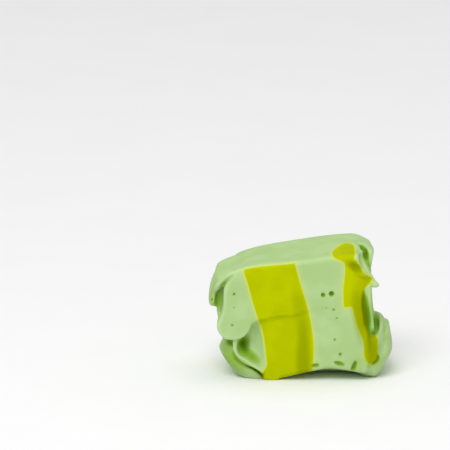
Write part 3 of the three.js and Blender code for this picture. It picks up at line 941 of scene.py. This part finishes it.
class Nodes:
    """Short calls for building a material."""

    def __init__(self, name):
        self.material = bpy.data.materials.new(name)
        self.material.use_nodes = True
        self.tree = self.material.node_tree
        self.shader = self.tree.nodes["Principled BSDF"]

    def make(self, kind, **settings):
        node = self.tree.nodes.new(kind)
        for name, value in settings.items():
            setattr(node, name, value)
        return node

    def link(self, source, target):
        self.tree.links.new(source, target)

    def attribute(self, name):
        return self.make("ShaderNodeAttribute", attribute_name=name).outputs["Fac"]

    def spread(self, value, low, high):
        """The value from low to high stretched to 0 to 1, with a smooth rise."""
        node = self.make("ShaderNodeMapRange", interpolation_type="SMOOTHSTEP")
        self.link(value, node.inputs["Value"])
        node.inputs["From Min"].default_value = low
        node.inputs["From Max"].default_value = high
        return node.outputs["Result"]

    def times(self, value, factor):
        node = self.make("ShaderNodeMath", operation="MULTIPLY")
        self.link(value, node.inputs[0])
        node.inputs[1].default_value = factor
        return node.outputs["Value"]

    def noise(self, size, detail, offset=(0, 0, 0)):
        """Noise with spots of about a size in millimetres."""
        place = self.make("ShaderNodeTexCoord").outputs["Object"]
        mapping = self.make("ShaderNodeMapping")
        mapping.inputs["Location"].default_value = offset
        self.link(place, mapping.inputs["Vector"])
        node = self.make("ShaderNodeTexNoise")
        self.link(mapping.outputs["Vector"], node.inputs["Vector"])
        node.inputs["Scale"].default_value = 1 / (size * MM)
        node.inputs["Detail"].default_value = detail
        return node.outputs["Fac"]

    def mix(self, factor, below, above):
        node = self.make("ShaderNodeMix", data_type="RGBA")
        self.link(factor, node.inputs["Factor"])
        for socket, colour in ((node.inputs["A"], below), (node.inputs["B"], above)):
            if isinstance(colour, tuple):
                socket.default_value = colour
            else:
                self.link(colour, socket)
        return node.outputs["Result"]


def taffy(name, main, light, rim, mid_shade, deep, border, border_reach, tint_reach, roughness, shine):
    """Pulled candy: a soft mottle, a pale tint along borders, a painted highlight along edges, and painted
    shade in the folds.
    """
    nodes = Nodes(name)
    mottle = nodes.spread(nodes.noise(**MOTTLE), *MOTTLE_RANGE)
    colour = nodes.mix(mottle, linear(main), linear(light))
    # Painted highlight: paler colour along convex edges
    edge = nodes.times(nodes.spread(nodes.attribute("hollow"), *EDGE_HIGHLIGHT_RANGE), EDGE_HIGHLIGHT_STRENGTH)
    colour = nodes.mix(edge, colour, linear(rim))
    for reach, strength in ((tint_reach, TINT_STRENGTH), (border_reach, BORDER_STRENGTH)):
        near = nodes.times(nodes.spread(nodes.attribute("border"), reach, 0.0), strength)
        colour = nodes.mix(near, colour, linear(border))
    # Painted shade: the mid colour in wide hollows
    fold = nodes.times(nodes.spread(nodes.attribute("wide_hollow"), *HOLLOW_SHADE_RANGE), HOLLOW_SHADE_STRENGTH)
    colour = nodes.mix(fold, colour, linear(mid_shade))
    # Painted shade from the depth attribute: toward the mid colour, then the deep one
    depth = nodes.attribute("depth")
    colour = nodes.mix(nodes.spread(depth, *MID_SHADE_RANGE), colour, linear(mid_shade))
    colour = nodes.mix(nodes.spread(depth, *DEEP_SHADE_RANGE), colour, linear(deep))
    nodes.link(colour, nodes.shader.inputs["Base Color"])

    gloss = nodes.make("ShaderNodeMapRange")
    nodes.link(nodes.noise(**GLOSS), gloss.inputs["Value"])
    gloss.inputs["To Min"].default_value = roughness - GLOSS_CHANGE
    gloss.inputs["To Max"].default_value = roughness + GLOSS_CHANGE
    nodes.link(gloss.outputs["Result"], nodes.shader.inputs["Roughness"])
    nodes.shader.inputs["Specular IOR Level"].default_value = shine

    grain = nodes.make("ShaderNodeBump")
    grain.inputs["Strength"].default_value = GRAIN_STRENGTH
    grain.inputs["Distance"].default_value = GRAIN_HEIGHT * MM
    nodes.link(nodes.noise(**GRAIN), grain.inputs["Height"])
    nodes.link(grain.outputs["Normal"], nodes.shader.inputs["Normal"])
    return nodes.material


def dress(piece, material, node):
    piece.data.materials.clear()
    piece.data.materials.append(material)
    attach(piece, "root")
    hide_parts(node)


def camera():
    data = bpy.data.cameras.new("camera")
    data.lens = CAMERA_LENS
    data.sensor_width = CAMERA_FILM
    data.clip_start = CAMERA_NEAR
    piece = bpy.data.objects.new("camera", data)
    piece.location = Vector(CAMERA_AT) * MM
    piece.rotation_euler = (Vector(CAMERA_AIM) - Vector(CAMERA_AT)).to_track_quat("-Z", "Y").to_euler()
    bpy.context.scene.collection.objects.link(piece)
    bpy.context.scene.camera = piece


def soft_light(name, at, size, power):
    data = bpy.data.lights.new(name, "AREA")
    data.shape = "DISK"
    data.size = size
    data.energy = power
    piece = bpy.data.objects.new(name, data)
    piece.location = at
    piece.rotation_euler = (-Vector(at)).to_track_quat("-Z", "Y").to_euler()
    bpy.context.scene.collection.objects.link(piece)


def add_floor():
    half = FLOOR_HALF
    corners = np.array([(-half, -half, 0), (half, -half, 0), (half, half, 0), (-half, half, 0)], dtype=float)
    floor = mesh_object("floor", corners, [(0, 1, 2, 3)])
    nodes = Nodes("floor_white")
    colour = nodes.mix(nodes.noise(**FLOOR_SPOTS), *FLOOR_GREYS)
    nodes.link(colour, nodes.shader.inputs["Base Color"])
    nodes.shader.inputs["Roughness"].default_value = FLOOR_ROUGHNESS
    floor.data.materials.append(nodes.material)


def studio():
    world = bpy.data.worlds.new("studio")
    world.use_nodes = True
    background = world.node_tree.nodes["Background"]
    background.inputs["Color"].default_value = (1, 1, 1, 1)
    background.inputs["Strength"].default_value = WORLD_LIGHT
    bpy.context.scene.world = world
    bpy.context.scene.view_settings.view_transform = "Standard"
    for name, at, size, power in LIGHTS:
        soft_light(name, at, size, power)
    add_floor()


camera()
studio()
green, yellow_left, yellow_right = taffy_pieces(taffy_body())
green_taffy = taffy("green_taffy_candy", **GREEN)
yellow_taffy = taffy("yellow_taffy_candy", **YELLOW)
dress(green, green_taffy, "green_taffy")
dress(yellow_left, yellow_taffy, "yellow_layer_left")
dress(yellow_right, yellow_taffy, "yellow_layer_right")
